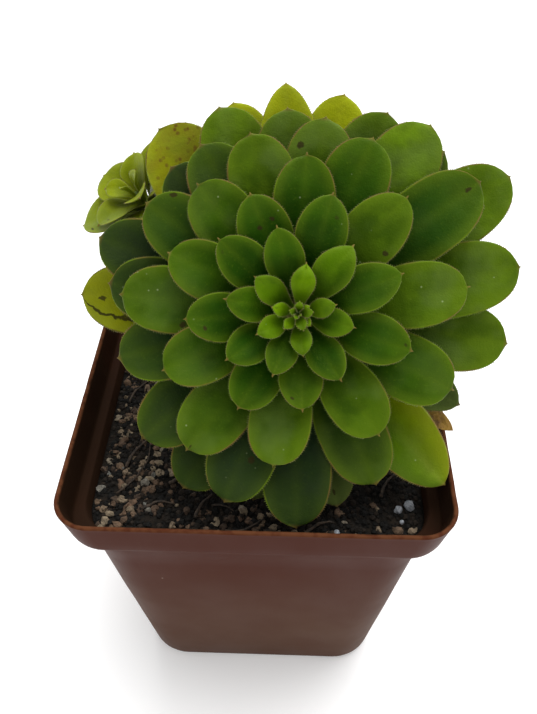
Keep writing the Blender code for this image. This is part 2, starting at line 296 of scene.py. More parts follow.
plastic, shader, place = new_material(
    "moulded brown plastic", 0.42, Specular_IOR_Level=0.04, Specular_Tint=(1.0, 0.48, 0.35, 1.0)
)
height = split(place)[2]
# The body turns paler and greyer, and a little rougher, towards its bottom, in soft patches.
paler_below = step(height, LEDGE * MM, 20 * MM)
paler_below = times(paler_below, step(clouds(place, 0.02), 0.25, 0.75, 0.75, 1.0))
body = tint(paler_below, POT_BROWN, POT_PALE_BELOW)
# Painted shade: the inner walls, and the faces inside that look up below the rim, are painted a darker
# brown.
facing = add(shader.id_data, "ShaderNodeTexCoord").outputs["Normal"]
level = vectors("MULTIPLY", place, (1.0, 1.0, 0.0))[0]
away = vectors("DOT_PRODUCT", vectors("NORMALIZE", level)[0], facing)["Value"]
upwards = step(split(facing)[2], 0.5, 0.8)
upwards = times(upwards, step(height, (POT_HEIGHT - 1) * MM, (POT_HEIGHT - 2) * MM))
painted_inner_shade = maths("MAXIMUM", step(away, -0.15, -0.45), upwards)
body = tint(painted_inner_shade, body, (0.018, 0.009, 0.005))
body = tint(step(clouds(place, 0.05, 8), 0.40, 0.75, 0.0, 0.25), body, POT_BROWN)
scuffed = step(height, (POT_HEIGHT - 0.9) * MM, (POT_HEIGHT - 0.2) * MM)
scuffed = times(scuffed, step(clouds(place, 0.5, 4), 0.30, 0.62, 0.25, 1.0))
body = tint(scuffed, body, LIP_SCUFF)
speck = flecks(place, 0.16 / MM, (0.055, 0.025), (0.72, 0.74))
body = tint(times(speck, 0.55), body, (0.42, 0.36, 0.30))
paint(shader, body)
gloss = step(clouds(place, 0.06, 6), 0.3, 0.7, 0.38, 0.48)
paint(shader, maths("ADD", gloss, times(paler_below, 0.10)), "Roughness")
bumped(shader, clouds(stretched(place, 0.12), 0.9, 4), 0.05, 0.55)

pot = new_piece("pot_moulding", worn, faces, plastic)
DRAIN_OFFSET, DRAIN_RADIUS = 19.0, 4.0
for i in range(4):
    bm = bmesh.new()
    bmesh.ops.create_cone(
        bm, cap_ends=True, segments=40, radius1=DRAIN_RADIUS * MM, radius2=DRAIN_RADIUS * MM, depth=8 * MM
    )
    centre = Vector((DRAIN_OFFSET * (1 if i % 2 else -1), DRAIN_OFFSET * (1 if i > 1 else -1), 0)) * MM
    bmesh.ops.translate(bm, verts=bm.verts, vec=centre)
    punch = bpy.data.meshes.new("punch")
    bm.to_mesh(punch)
    bm.free()
    drill = bpy.data.objects.new(f"punch_{i}", punch)
    hole = pot.modifiers.new("drain", "BOOLEAN")
    hole.object, hole.operation, hole.solver = drill, "DIFFERENCE", "EXACT"
bake(pot)
for i in range(4):
    bpy.data.objects.remove(bpy.data.objects[f"punch_{i}"], do_unlink=True)
hand_in(pot, "pot_plastic", "pot")

# ----------------------------------------------------------------------------
# Soil. Moist, nearly black potting mix that fills the pot to just under the ledge and heaps up a little
# towards the stem. Its top is lumpy.
SOIL_EDGE, SOIL_HEAP = 82.5, 4.0
SOIL_BLACK, SOIL_BROWN = (0.004, 0.0035, 0.0025), (0.018, 0.012, 0.007)


def soil_top(x, y, share):
    """Height of the lumpy soil at a place; share is 1 at the wall and 0 in the middle."""
    heap = SOIL_EDGE + SOIL_HEAP * (1 - share * share)
    lumps = 1.1 * noise.noise(Vector((x, y, 3)) * 0.16) + 0.7 * noise.noise(Vector((x, y, 9)) * 0.45)
    return heap + lumps * min(1.0, 6 * (1 - share) + 0.25) - 0.6 * share**12


edge_half = body_half(SOIL_EDGE) - WALL - 0.15
rings = [rounded_square(BASE_HALF - WALL - 0.3, BASE_CORNER - WALL, WALL + 0.3)]
rings.append(rounded_square(body_half(40) - WALL - 0.3, BODY_TOP_CORNER - WALL, 40))
rings.append(rounded_square(body_half(78) - WALL - 0.3, BODY_TOP_CORNER - WALL, 78))
for i in range(60):
    share = 1 - (i / 60) ** 1.1
    flat = rounded_square(share * edge_half, share * (BODY_TOP_CORNER - WALL), 0)
    rings.append([(x, y, soil_top(x, y, share)) for x, y, _ in flat])
points, faces = loft(rings)

mix = mottled(
    "moist potting mix", 0.88, (0.35, 6, 0.38, 0.75), SOIL_BLACK, SOIL_BROWN, (1.1, 8, 0.7),
    Specular_IOR_Level=0.25,
)
soil = new_piece("soil_bed", points, faces, mix)
hand_in(soil, "potting_mix", "soil")

# ----------------------------------------------------------------------------
# Crumbs, grit, perlite and bits of twig on the soil. Dark crumbs lie all over; tan, beige and grey pumice
# of 1 to 3 mm lies thickest along the left side; most of the perlite lies at the right.
def rule_tree(name, sizes):
    """A Geometry Nodes tree with a geometry input, named size inputs and a material input."""
    made = bpy.data.node_groups.new(name, "GeometryNodeTree")
    made.interface.new_socket("Geometry", in_out="INPUT", socket_type="NodeSocketGeometry")
    for key, value in sizes.items():
        kind = "NodeSocketInt" if isinstance(value, int) else "NodeSocketFloat"
        made.interface.new_socket(key, in_out="INPUT", socket_type=kind).default_value = value
    made.interface.new_socket("Material", in_out="INPUT", socket_type="NodeSocketMaterial")
    made.interface.new_socket("Geometry", in_out="OUTPUT", socket_type="NodeSocketGeometry")
    return made, add(made, "NodeGroupInput").outputs, add(made, "NodeGroupOutput")


def named(rule, label, kind="FLOAT"):
    return add(rule, "GeometryNodeInputNamedAttribute", {"Name": label}, data_type=kind).outputs[0]


def drawn(rule, low, high, seed):
    """A random number for each point."""
    sockets = {2: low, 3: high, "Seed": seed}
    return add(rule, "FunctionNodeRandomValue", sockets, data_type="FLOAT").outputs[1]


def drawn_vector(rule, low, high, seed):
    sockets = {0: (low,) * 3, 1: (high,) * 3, "Seed": seed}
    return add(rule, "FunctionNodeRandomValue", sockets, data_type="FLOAT_VECTOR").outputs[0]


def upright(direction):
    sockets = {"Vector": direction}
    return add(direction.id_data, "FunctionNodeAlignRotationToVector", sockets, axis="Z").outputs[0]


def lay_out(points, item, turn, size):
    sockets = {"Points": points, "Instance": item, "Rotation": turn, "Scale": size}
    return add(points.id_data, "GeometryNodeInstanceOnPoints", sockets).outputs[0]


def dressed(laid, material):
    """What was laid out as a real mesh in one material, which ends a tree."""
    real = add(laid.id_data, "GeometryNodeRealizeInstances", {0: laid}).outputs[0]
    return add(laid.id_data, "GeometryNodeSetMaterial", {0: real, "Material": material}).outputs[0]


def follow(piece, rule, **values):
    """Puts a tree on a piece and sets its inputs by their identifiers."""
    modifier = piece.modifiers.new(rule.name, "NODES")
    modifier.node_group = rule
    for item in rule.interface.items_tree:
        if item.in_out == "INPUT" and item.name in values:
            modifier[item.identifier] = values[item.name]
    return piece


def grain(name, seed, subdivisions, stretch, knocks):
    """An uneven grain one unit across. Knocks gives the size and the fineness of each roughness."""
    bm = bmesh.new()
    bmesh.ops.create_icosphere(bm, subdivisions=subdivisions, radius=0.5)
    for vert in bm.verts:
        knock = 0.0
        for (size, fineness), way in zip(knocks, ((seed, 0, 0), (0, seed, 0))):
            knock += size * noise.noise(vert.co * fineness + Vector(way))
        vert.co = Vector((vert.co.x, vert.co.y * stretch[0], vert.co.z * stretch[1])) * (1 + knock)
    mesh = bpy.data.meshes.new(name)
    bm.to_mesh(mesh)
    bm.free()
    return bpy.data.objects.new(name, mesh)


SHADE_SEED = 5


def scatter_rule(name, shape, sizes):
    """Scatters one loose shape on the ground, as densely as the ground's "thick" attribute says."""
    rule, given, result = rule_tree(name, sizes)
    thick = named(rule, "thick")
    spread = add(
        rule, "GeometryNodeDistributePointsOnFaces",
        {"Mesh": given["Geometry"], "Distance Min": given["Apart"], "Density Max": given["Per square metre"],
         "Density Factor": thick, "Seed": given["Seed"]},
        distribute_method="POISSON",
    )
    item = add(rule, "GeometryNodeObjectInfo", {"Object": shape}).outputs["Geometry"]
    size = drawn(rule, given["Smallest"], given["Largest"], given["Seed"])
    turn = drawn_vector(rule, 0.0, 6.28, given["Seed"])
    laid = lay_out(spread.outputs["Points"], item, turn, size)
    sockets = {"Geometry": laid, "Name": "shade", "Value": drawn(rule, 0.0, 1.0, SHADE_SEED)}
    toned = add(
        rule, "GeometryNodeStoreNamedAttribute", sockets, data_type="FLOAT", domain="INSTANCE"
    ).outputs[0]
    rule.links.new(dressed(toned, given["Material"]), result.inputs[0])
    return rule


def ground(name, thickness):
    """The open top of the soil, with how thickly a kind of bit lies on it."""
    low = (SOIL_EDGE - 2.5) * MM
    keep = [face for face in soil.data.polygons if face.normal.z > 0.3 and face.center.z > low]
    used = sorted({v for face in keep for v in face.vertices})
    number = {v: i for i, v in enumerate(used)}
    spots = [soil.data.vertices[v].co / MM for v in used]
    piece = new_piece(name, spots, [[number[v] for v in face.vertices] for face in keep])
    layer = piece.data.attributes.new("thick", "FLOAT", "POINT")
    layer.data.foreach_set("value", [thickness(spot) for spot in spots])
    return piece


def inside(spot, margin):
    """1 away from the pot wall and 0 within the margin of it."""
    return 1.0 if max(abs(spot.x), abs(spot.y)) < edge_half - margin else 0.0


def grit_thickness(spot):
    left = 1 / (1 + math.exp((spot.x + 8) / 6))
    patches = 0.5 + 0.9 * noise.noise(Vector((spot.x, spot.y, 1)) * 0.11)
    return inside(spot, 1.6) * max(0.0, min(1.0, (0.25 + 1.1 * left) * patches))


GRIT_DARK, GRIT_TAN, GRIT_BEIGE = (0.055, 0.033, 0.020), (0.160, 0.095, 0.055), (0.27, 0.21, 0.135)
pumice, shader, place = new_material("pumice", 0.9)
shade = stored(shader, "shade")
body = tint(step(shade, 0.0, 0.45), GRIT_DARK, GRIT_TAN)
body = tint(step(shade, 0.45, 0.8), body, GRIT_BEIGE)
body = tint(step(shade, 0.90, 0.99), body, (0.17, 0.17, 0.15))
body = tint(step(clouds(place, 1.3, 4), 0.35, 0.7, 0.0, 0.55), body, (0.05, 0.035, 0.022))
paint(shader, body)
bumped(shader, clouds(place, 2.2, 5), 0.35)

GRIT_SIZES = {
    "Apart": 1.6 * MM, "Per square metre": 220000.0, "Smallest": 1.1 * MM, "Largest": 3.1 * MM, "Seed": 3
}
for i, squash in enumerate((0.8, 0.65)):
    shape = grain(f"grain_{i}", 11 * i + 2, 2, (squash, 0.8), ((0.75, 1.9), (0.45, 4.5)))
    rule = scatter_rule(f"grit on soil {i}", shape, GRIT_SIZES)
    grit = follow(ground(f"pumice_grit_{i + 1}", grit_thickness), rule, Seed=3 + i, Material=pumice)
    hand_in(bake(grit), "potting_mix")
    bpy.data.objects.remove(shape)

dark, shader, place = new_material("soil crumbs", 0.85, Specular_IOR_Level=0.3)
shade = stored(shader, "shade")
body = tint(step(shade, 0.4, 1.0), SOIL_BLACK, (0.034, 0.022, 0.013))
paint(shader, tint(clouds(place, 1.5), body, SOIL_BLACK))
bumped(shader, clouds(place, 2.5, 5), 0.3)
CRUMB_SIZES = {
    "Apart": 0.75 * MM, "Per square metre": 900000.0, "Smallest": 0.6 * MM, "Largest": 2.1 * MM, "Seed": 8
}
shape = grain("crumb", 4, 1, (1.0, 1.0), ((0.35, 3),))
rule = scatter_rule("crumbs on soil", shape, CRUMB_SIZES)
crumbs = follow(ground("soil_crumbs", lambda spot: inside(spot, 0.8)), rule, Material=dark)
hand_in(bake(crumbs), "potting_mix")
bpy.data.objects.remove(shape)

# Perlite: a few soft white beads, most of them near the right front corner, by place and width.
PERLITE = ((40.5, -32, 2.8), (37.3, -33.5, 2.2), (38, -37, 1.2), (21, -40.5, 1.6), (36, 20, 2.2),
           (-20, 38, 2.0))
white = mottled("perlite", 0.8, (1.6, 4, 0.3, 0.65), (0.16, 0.18, 0.20), (0.40, 0.42, 0.45), (2.5, 5, 0.3))
bm = bmesh.new()
for i, (x, y, size) in enumerate(PERLITE):
    share = max(abs(x), abs(y)) / edge_half
    centre = Vector((x, y, soil_top(x, y, share) + 0.35 * size))
    made = bmesh.ops.create_icosphere(bm, subdivisions=3, radius=size / 2)
    for vert in made["verts"]:
        knock = 0.35 * noise.noise(vert.co * 0.9 + Vector((i * 5, 0, 0))) + 0.1 * noise.noise(vert.co * 3)
        vert.co = (vert.co * (1 + knock) + centre) * MM
mesh = bpy.data.meshes.new("perlite_beads")
bm.to_mesh(mesh)
bm.free()
mesh.shade_smooth()
mesh.materials.append(white)
hand_in(put_in("perlite_beads", mesh), "potting_mix")

# Twigs and fibres: start, end, sag sideways and thickness of each.
TWIGS = ((-37, -22, -28, -12, 2.0, 0.5), (-38, -31, -31, -15, -2.5, 0.28), (-30, -36, -22, -34, 1.0, 0.45),
         (-16, -38, -12, -31, 0.8, 0.5), (-8, -41, 2, -38, -1.2, 0.4), (-40, 2, -34, 12, 1.5, 0.35),
         (12, -42, 20, -38, 1.0, 0.5), (33, -30, 39, -22, 1.2, 0.45), (22, 34, 34, 30, -2.0, 0.5),
         (-26, 30, -18, 38, 1.4, 0.4), (-24, -28, -19, -22, -0.8, 0.6), (36, 4, 41, 14, 1.0, 0.4),
         (-12, -34, -6, -36, 0.7, 0.3), (2, -41, 8, -42, 0.5, 0.35), (-33, -5, -27, -8, 1.0, 0.3))


def tube(path, radii, around=10, wobble=0.0):
    """Points and faces of a closed tube along a path, in millimetres."""
    rings = []
    across = Vector((1, 0, 0))
    for i, (point, radius) in enumerate(zip(path, radii)):
        ahead = (path[min(i + 1, len(path) - 1)] - path[max(i - 1, 0)]).normalized()
        across = (across - ahead * across.dot(ahead)).normalized()
        other = ahead.cross(across)
        ring = []
        for j in range(around):
            angle = 2 * math.pi * j / around
            out = across * math.cos(angle) + other * math.sin(angle)
            rough = 1 + wobble * noise.noise((point + out * radius) * 0.7)
            ring.append(tuple(point + out * radius * rough))
        rings.append(ring)
    return loft(rings)


def joined(parts):
    """One list of points and faces from several."""
    points, faces = [], []
    for some_points, some_faces in parts:
        faces += [tuple(v + len(points) for v in face) for face in some_faces]
        points += list(some_points)
    return points, faces


sticks = []
for x1, y1, x2, y2, sag, thickness in TWIGS:
    start, end = Vector((x1, y1, 0)), Vector((x2, y2, 0))
    sideways = Vector((-(end - start).y, (end - start).x, 0)).normalized()
    path = []
    for i in range(11):
        t = i / 10
        spot = start.lerp(end, t) + sideways * sag * 4 * t * (1 - t)
        share = max(abs(spot.x), abs(spot.y)) / edge_half
        spot.z = soil_top(spot.x, spot.y, share) + 0.9 + 1.0 * t * (1 - t)
        path.append(spot)
    sticks.append(tube(path, [thickness * (1 - 0.5 * i / 10) for i in range(11)], 8, 0.4))
wood = mottled(
    "twig bark", 0.8, (0.9, 5, 0.3, 0.7), (0.016, 0.011, 0.007), (0.062, 0.040, 0.024), (2.0, 5, 0.25)
)
twigs = new_piece("twigs_and_fibres", *joined(sticks), wood)
hand_in(twigs, "potting_mix")

# ----------------------------------------------------------------------------
# Stems. Bare brown stems that stand in the soil and bend forward to their rosettes. A lens-shaped scar is
# left at each turn of the spiral where an old leaf has dropped.
def leaning_axes(tip, side, up):
    """Tip, side, back and up of a rosette, up being along its stem."""
    up = up.normalized()
    side = (side - up * side.dot(up)).normalized()
    return tip, side, up.cross(side), up


LEAN = math.radians(48.5)
MAIN_UP = Vector((0, -math.sin(LEAN), math.cos(LEAN)))
MAIN = leaning_axes(Vector((9.4, -20.0, 140.5)), Vector((1, 0, 0)), MAIN_UP)
PUP = leaning_axes(Vector((-37.0, 33.0, 138.5)), Vector((0, 1, 0)), Vector((-0.52, -0.26, 0.81)))
STEM_SOCKET, STEM_RADIUS, PUP_SOCKET, PUP_STEM_RADIUS = (7.0, 13.0), 5.0, (-11.0, 17.0), 2.4
SOCKET_DEPTH = 8.0
BARK_DARK, BARK_PALE = (0.060, 0.038, 0.020), (0.23, 0.165, 0.095)


def stem_radius(depth):
    return 0.2 + (STEM_RADIUS - 0.6) * (1 - math.exp(-depth / 13))


def pup_stem_radius(depth):
    return 0.4 + (PUP_STEM_RADIUS - 0.4) * min(1.0, depth / 11)


def stem_path(socket, radius, axes, depths, radius_at):
    """Middle line and radii of a stem from its foot in the soil to the top of its bare part."""
    tip, _, _, up = axes
    deepest, shallowest = depths
    foot = Vector((*socket, SOIL_EDGE - SOCKET_DEPTH))
    low = foot + Vector((0, 0, SOCKET_DEPTH + 3))
    shoulder = tip - up * deepest
    lift = Vector((0, 0, (shoulder.z - SOIL_EDGE) * 0.45))
    path, radii = [foot, foot + Vector((0, 0, 5)), low], [radius] * 3
    for i in range(1, 25):
        t = i / 24
        middle = 3 * t * (1 - t) ** 2 * (low + lift) + 3 * t * t * (1 - t) * (shoulder - up * 6)
        path.append((1 - t) ** 3 * low + middle + t**3 * shoulder)
        radii.append(radius + (radius_at(deepest) - radius) * t)
    for i in range(1, 17):
        depth = deepest + (shallowest - deepest) * i / 16
        path.append(tip - up * depth)
        radii.append(radius_at(depth))
    return path, radii


def set_on_rule(name, shape, sizes):
    """Sets a small shape on every point, standing along the point's "outward" attribute."""
    rule, given, result = rule_tree(name, sizes)
    turn = upright(named(rule, "outward", "FLOAT_VECTOR"))
    size = drawn(rule, given["Smallest"], given["Largest"], given["Seed"])
    item = add(rule, "GeometryNodeObjectInfo", {"Object": shape}).outputs["Geometry"]
    laid = lay_out(given["Geometry"], item, turn, size)
    rule.links.new(dressed(laid, given["Material"]), result.inputs[0])
    return rule


def scar_shape():
    """A flat lens with a raised rim, one unit wide, lying across its own Z."""
    rings = []
    for share, rise in ((1.0, -0.10), (1.0, 0.05), (0.8, 0.13), (0.55, 0.05), (0.2, 0.03)):
        rings.append([
            (0.5 * share * math.cos(a), 0.26 * share * math.sin(a), rise)
            for a in (2 * math.pi * i / 10 for i in range(10))
        ])
    points, faces = loft(rings)
    mesh = bpy.data.meshes.new("scar")
    mesh.from_pydata(points, [], faces)
    return bpy.data.objects.new("scar", mesh)


bark, shader, place = new_material("stem bark", 0.78)
streaks = stretched(place, 0.3)
body = tint(step(clouds(streaks, 0.5, 6), 0.32, 0.68), BARK_DARK, BARK_PALE)
high = split(place)[2]
body = tint(step(high, 112 * MM, 132 * MM, 0.0, 0.6), body, (0.16, 0.17, 0.05))
paint(shader, body)
bumped(shader, clouds(streaks, 1.4, 6), 0.4)
scar_skin = mottled("leaf scar", 0.8, (1.2, 4), (0.16, 0.10, 0.055), (0.34, 0.25, 0.15))

SCAR_NARROW, SCAR_WIDE, FIRST_SCAR, LAST_SCAR = 3.2, 4.4, 3, 25
shape = scar_shape()
scar_rule = set_on_rule(
    "scars on stem", shape, {"Smallest": SCAR_NARROW * MM, "Largest": SCAR_WIDE * MM, "Seed": 6}
)
for name, socket, radius, axes, depths, radius_at, scars, size in (
    ("stem", STEM_SOCKET, STEM_RADIUS, MAIN, (46, 12.6), stem_radius, 34, 1.0),
    ("offset_stem", PUP_SOCKET, PUP_STEM_RADIUS, PUP, (16, 11.9), pup_stem_radius, 26, 0.55),
):
    path, radii = stem_path(socket, radius, axes, depths, radius_at)
    trunk = new_piece(name + "_bark", *tube(path, radii, 28, 0.10), bark)
    spots, outwards = [], []
    for i in range(scars):
        along = FIRST_SCAR + (LAST_SCAR - FIRST_SCAR) * i / scars
        k = int(along)
        point = path[k].lerp(path[k + 1], along - k)
        ahead = (path[k + 1] - path[k]).normalized()
        side = (axes[1] - ahead * axes[1].dot(ahead)).normalized()
        angle = math.radians(137.5 * i)
        out = side * math.cos(angle) + ahead.cross(side) * math.sin(angle)
        spots.append(point + out * (radii[k] - 0.1))
        outwards.append(out)
    seats = new_piece(name + "_scars", spots, [])
    layer = seats.data.attributes.new("outward", "FLOAT_VECTOR", "POINT")
    layer.data.foreach_set("vector", [c for out in outwards for c in out])
    follow(
        seats, scar_rule, Smallest=SCAR_NARROW * size * MM, Largest=SCAR_WIDE * size * MM, Material=scar_skin
    )
    hand_in(trunk, "stem_bark", name)
    hand_in(bake(seats), "stem_bark")
bpy.data.objects.remove(shape)

# ----------------------------------------------------------------------------
# Leaf shape. Every leaf is a fleshy spoon on one spiral: a narrow neck at the stem, a broad blade, and an
# end drawn out into a small hard point. Its face is slightly hollow, with a soft crease near the end, and
# its thin pale margin carries minute teeth.
ARCH, CUP, NECK, WIDEST = 0.8, 0.16, 0.28, 0.64
ROWS, HALF_ROUND = 34, 13
POINT_LENGTH, POINT_HALF = 0.95, 0.44
OLDEST = 80


class Blade:
    """Sizes of one leaf in millimetres, and its looks. Its number is its age, up to OLDEST or a bit over."""

    def __init__(
        self, axes, azimuth, seat, usual, reach, height, breadth, thickness, number, pointed, lighting_and_tone=0.5
    ):
        self.axes, self.azimuth, self.seat = axes, math.radians(azimuth), seat
        self.usual, self.reach, self.height = usual, reach, height
        self.breadth, self.thickness = breadth, thickness
        self.number, self.pointed, self.lighting_and_tone = number, pointed, lighting_and_tone


def half_width(blade, along):
    """Half width of a leaf at shares of its length, with its hard point at the end."""
    widest = WIDEST + 0.05 * (1 - blade.pointed)
    low = np.clip(along / widest, 0, 1)
    high = np.clip((along - widest) / (1 - widest), 0, 1)
    neck = NECK + (1 - NECK) * low * low * (3 - 2 * low)
    blunt = np.sqrt(np.clip(1 - high**2.7, 0, 1))
    sharp = np.clip(1 - high**1.7, 0, 1) ** 0.95
    slim = 1 - 0.20 * blade.pointed
    body = slim * blade.breadth / 2 * neck * (blunt * (1 - blade.pointed) + sharp * blade.pointed)
    size = min(1.0, blade.breadth / 9)
    left = (1 - along) * (blade.reach - blade.seat[0])
    share = (left + 0.9 * POINT_LENGTH * size) / (1.9 * POINT_LENGTH * size)
    spike = POINT_HALF * size * np.clip(share, 0, 1)
    return np.where(along > widest, np.maximum(body, spike), body)


def middle(blade, along, across):
    """The middle surface of a leaf as an array of points."""
    tip, side, back, up = (np.array(v) for v in blade.axes)
    base = blade.seat[0]
    reach = base + (blade.reach - base) * along
    half = half_width(blade, along)
    out = (reach - base) / (blade.usual - base)
    rise = out + ARCH * out * (1 - out)
    height = blade.seat[1] + (blade.height - blade.seat[1]) * rise + CUP * half * across**2
    seed = blade.number * 1.7
    size = min(1.0, blade.breadth / 14)
    fold = np.clip((along - 0.45) / 0.4, 0, 1) * np.clip((1 - along) / 0.15, 0, 1)
    height -= 0.60 * size * np.exp(-((across / 0.25) ** 2)) * fold
    height += 0.30 * size * np.sin(3.1 * along + seed) * across
    height += 0.16 * size * np.sin(9 * along + 2 * seed) * across**2 * np.sign(across)
    azimuth = blade.azimuth + across * half / np.maximum(reach, 1.0)
    ring = np.cos(azimuth)[..., None] * side + np.sin(azimuth)[..., None] * back
    return tip + ring * reach[..., None] + height[..., None] * up


def leaf_mesh(blade):
    """Points, faces and per-point values of one leaf, in rings from its seat to its point."""
    size = min(1.0, blade.breadth / 9)
    past = 1 + 0.9 * POINT_LENGTH * size / (blade.reach - blade.seat[0])
    t = np.linspace(0, 1, ROWS)
    rows = past * (1 - (1 - t) ** 1.35)
    rows[0] = -min(0.08, 0.8 / (blade.reach - blade.seat[0]))
    turn = np.pi * np.arange(2 * HALF_ROUND) / HALF_ROUND
    across = -np.cos(turn)
    face = np.where(np.arange(2 * HALF_ROUND) <= HALF_ROUND, 1.0, -1.0)
    along, wide = np.meshgrid(rows, across, indexing="ij")
    small = 1e-3
    centre = middle(blade, along, wide)
    d_along = middle(blade, along + small, wide) - centre
    d_wide = middle(blade, along, wide + small) - centre
    normal = np.cross(d_along, d_wide)
    length = np.linalg.norm(normal, axis=-1, keepdims=True)
    normal /= np.maximum(length, 1e-12)
    normal *= np.sign((normal @ np.array(blade.axes[3])))[..., None] + (length[..., 0:1] == 0)
    plump = 0.30 + 0.70 * (1 - wide**2)
    rounded = np.sqrt(np.clip(1 - np.abs(wide) ** 9, 0, 1))
    taper = 1 - 0.55 * np.clip(along, 0, 1) ** 5
    taper *= np.clip((past - along) / (0.02 + past - 1), 0, 1) ** 0.5
    lift = 0.5 * blade.thickness * plump * rounded * taper * face[None, :]
    points = centre + normal * lift[..., None]
    count = 2 * HALF_ROUND
    faces = []
    for i in range(ROWS - 2):
        for j in range(count):
            k = (j + 1) % count
            faces.append((i * count + j, (i + 1) * count + j, (i + 1) * count + k, i * count + k))
    flat = points.reshape(-1, 3)[: (ROWS - 1) * count]
    ends = [points[0].mean(axis=0), middle(blade, np.array([past]), np.array([0.0]))[0]]
    flat = np.vstack([flat, ends])
    seat_end, tip_end = len(flat) - 2, len(flat) - 1
    last = (ROWS - 2) * count
    for j in range(count):
        k = (j + 1) % count
        faces.append((j, k, seat_end))
        faces.append((last + k, last + j, tip_end))
    v = np.append(np.clip(along[: ROWS - 1], 0, 1.2).ravel(), [0.0, past])
    u = np.append(wide[: ROWS - 1].ravel(), [0.0, 0.0])
    under = np.append(np.where(np.tile(face, ROWS - 1) < 0, 1.0, 0.0), [0.5, 0.5])
    outward = np.zeros_like(points[: ROWS - 1])
    for edge in (0, HALF_ROUND):
        inner = (points[: ROWS - 1, edge - 1] + points[: ROWS - 1, edge + 1]) / 2
        away = points[: ROWS - 1, edge] - inner
        outward[:, edge] = away / np.maximum(np.linalg.norm(away, axis=-1, keepdims=True), 1e-9)
    outward = np.vstack([outward.reshape(-1, 3), np.zeros((2, 3))])
    return flat, faces, u, v, under, outward


def leaf_piece(name, blades, skin):
    """One piece of one or more leaves, with the values that its skin and its teeth follow."""
    parts, rims, start = [], set(), 0
    for blade in blades:
        part = leaf_mesh(blade)
        count = len(part[0])
        looks = [np.full(count, blade.number / OLDEST), np.full(count, blade.lighting_and_tone)]
        parts.append((*part, *looks))
        for row in range(3, ROWS - 5):
            for edge in (0, HALF_ROUND):
                first = start + row * 2 * HALF_ROUND + edge
                rims.add((first, first + 2 * HALF_ROUND))
        start += count
    points, faces = joined([part[:2] for part in parts])
    u, v, under, outward, age, lighting_and_tone = (np.concatenate([part[i] for part in parts]) for i in range(2, 8))
    piece = new_piece(name, points, faces, skin)
    mesh = piece.data
    for label, values in (("age", age), ("lighting_and_tone", lighting_and_tone), ("under", under)):
        mesh.attributes.new(label, "FLOAT", "POINT").data.foreach_set("value", values.astype(np.float32))
    mesh.attributes.new("outward", "FLOAT_VECTOR", "POINT").data.foreach_set(
        "vector", outward.astype(np.float32).ravel()
    )
    corners = np.zeros(len(mesh.loops), np.int32)
    mesh.loops.foreach_get("vertex_index", corners)
    spread = np.stack([0.5 + 0.5 * u[corners], v[corners]], axis=1)
    mesh.uv_layers.new(name="blade").data.foreach_set("uv", spread.ravel().astype(np.float32))
    on_rim = [tuple(sorted(edge.vertices)) in rims for edge in mesh.edges]
    mesh.attributes.new("rim", "BOOLEAN", "EDGE").data.foreach_set("value", on_rim)
    return piece


def margin_rule():
    """Stands minute soft teeth along a leaf's margin, each pointing away from the blade."""
    sizes = {"Spacing": 0.55 * MM, "Width": 0.20 * MM, "Length": 0.42 * MM, "Seed": 2}
    rule, given, result = rule_tree("teeth on margin", sizes)
    sockets = {"Mesh": given["Geometry"], "Selection": named(rule, "rim", "BOOLEAN")}
    edge = add(rule, "GeometryNodeMeshToCurve", sockets).outputs[0]
    even = add(
        rule, "GeometryNodeResampleCurve", {"Curve": edge, "Length": given["Spacing"]}, mode="LENGTH"
    ).outputs[0]
    outward = named(rule, "outward", "FLOAT_VECTOR")
    stray = drawn_vector(rule, -0.35, 0.35, given["Seed"])
    aim = vectors("ADD", outward, stray)[0]
    turn = upright(aim)
    high = times(drawn(rule, 0.5, 1.3, given["Seed"]), given["Length"])
    size = add(rule, "ShaderNodeCombineXYZ", {0: given["Width"], 1: given["Width"], 2: high}).outputs[0]
    tooth = add(
        rule, "GeometryNodeMeshCone", {"Vertices": 4, "Radius Top": 0.0, "Radius Bottom": 0.5, "Depth": 1.0}
    ).outputs[0]
    laid = lay_out(even, tooth, turn, size)
    whole = add(rule, "GeometryNodeJoinGeometry")
    rule.links.new(dressed(laid, given["Material"]), whole.inputs[0])
    rule.links.new(given["Geometry"], whole.inputs[0])
    rule.links.new(whole.outputs[0], result.inputs[0])
    return rule


MARGIN_RULE = margin_rule()


